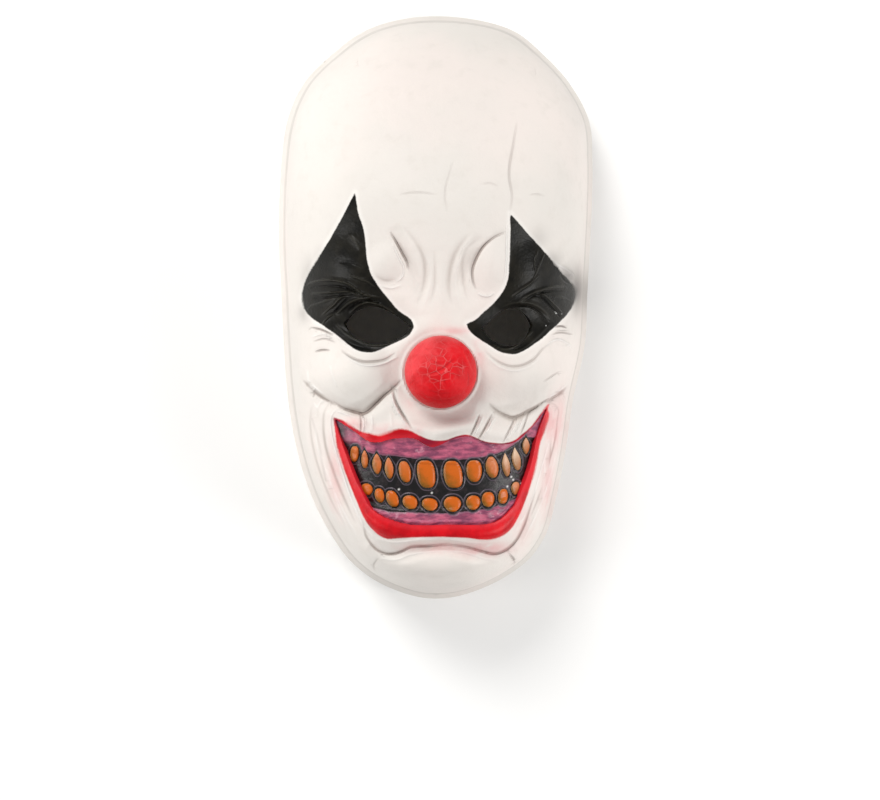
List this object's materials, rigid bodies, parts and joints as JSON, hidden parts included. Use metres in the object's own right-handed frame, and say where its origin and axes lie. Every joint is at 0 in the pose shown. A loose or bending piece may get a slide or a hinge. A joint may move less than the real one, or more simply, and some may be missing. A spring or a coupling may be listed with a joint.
{
  "type": "clown mask",
  "caption": "Hollow latex evil clown mask with black eye patches, a red ball nose, a wide mouth full of teeth and an elastic strap to hold it on the face.",
  "frame": {"origin": "middle of the mask's outline, on the plane of its back rim, which is the surface that it rests on", "axes": "+Z out of the face, +Y from the chin to the crown, +X to the right of someone who looks at the face"},
  "size_m": [0.16, 0.297, 0.1086],
  "materials": {
    "painted_latex": "satin",
    "nose_latex": "satin",
    "mouth_latex": "gloss",
    "elastic": "matte"
  },
  "bodies": {
    "root": {"face_shell": "painted_latex", "red_nose": "nose_latex", "teeth_plate": "mouth_latex", "elastic_strap": "elastic"}
  },
  "joints": []
}
